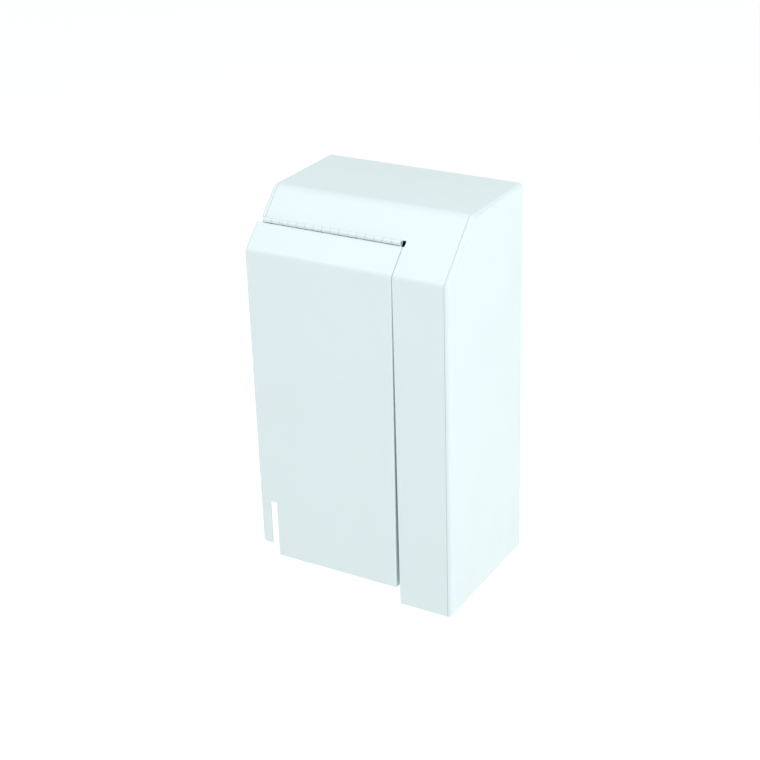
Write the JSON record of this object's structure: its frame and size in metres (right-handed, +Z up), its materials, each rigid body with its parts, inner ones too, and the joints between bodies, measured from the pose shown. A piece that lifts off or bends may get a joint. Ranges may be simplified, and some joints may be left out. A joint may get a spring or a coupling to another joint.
{
  "type": "dog waste bin",
  "caption": "Wall-mounted sheet-steel dog waste bin with a wide top-hinged front flap, a lift-out bucket behind it and a fixed side column with a bag spindle.",
  "frame": {"origin": "middle of the base, on the plane that the bin stands on", "axes": "+Z up, -Y out of the front with the flap, +X to the right as seen from the front"},
  "size_m": [0.3, 0.212, 0.55],
  "materials": {
    "white_powder_coat": "smooth white powder coat, satin gloss",
    "coated_hinge_steel": "white powder coat on a rolled steel hinge",
    "zinc_plated_steel": "bright zinc plate",
    "galvanised_steel": "hot-dip galvanised, matt with spangle",
    "black_rubber": "matt black rubber",
    "black_plastic": "black moulded plastic"
  },
  "bodies": {
    "housing": {"housing_wrapper": "white_powder_coat", "right_side_panel": "white_powder_coat", "left_side_panel": "white_powder_coat", "back_panel": "white_powder_coat", "partition_panel": "white_powder_coat", "base_shelf": "white_powder_coat", "column_floor": "white_powder_coat", "flap_stop_strip": "white_powder_coat", "mounting_strap_lower": "zinc_plated_steel", "mounting_strap_upper": "zinc_plated_steel", "flap_buffer_upper_left": "black_rubber", "flap_buffer_lower_left": "black_rubber", "flap_buffer_upper_right": "black_rubber", "flap_buffer_lower_right": "black_rubber", "hinge_fixed_leaf": "coated_hinge_steel", "hinge_pin": "zinc_plated_steel", "spindle_bracket_front": "zinc_plated_steel", "spindle_bracket_rear": "zinc_plated_steel"},
    "flap": {"flap_panel": "white_powder_coat", "flap_bottom_rail": "white_powder_coat", "hinge_moving_leaf": "coated_hinge_steel"},
    "bucket": {"liner_bucket": "galvanised_steel", "bucket_rim_wire": "galvanised_steel", "bucket_ear_left": "galvanised_steel", "bucket_ear_right": "galvanised_steel", "ear_rivet_left_front": "galvanised_steel", "ear_rivet_left_rear": "galvanised_steel", "ear_rivet_right_front": "galvanised_steel", "ear_rivet_right_rear": "galvanised_steel"},
    "bail": {"bucket_bail": "galvanised_steel", "bail_grip": "black_plastic"},
    "spindle": {"bag_spindle": "zinc_plated_steel"}
  },
  "joints": [
    {"name": "flap_hinge", "type": "hinge", "parent": "housing", "child": "flap", "pos_m": [0, -0.07309, 0.51357], "axis": [-1, 0, 0], "range_deg": [0, 110]},
    {"name": "bucket_lift", "type": "slide", "parent": "housing", "child": "bucket", "axis": [0, 0, 1], "range_m": [0, 0.06]},
    {"name": "bail_pivot", "type": "hinge", "parent": "bucket", "child": "bail", "pos_m": [-0.031, 0.006, 0.31], "axis": [-1, 0, 0], "range_deg": [0, 150]},
    {"name": "spindle_spin", "type": "hinge", "parent": "housing", "child": "spindle", "pos_m": [0.112, 0, 0.15], "axis": [0, 1, 0], "continuous": true}
  ]
}
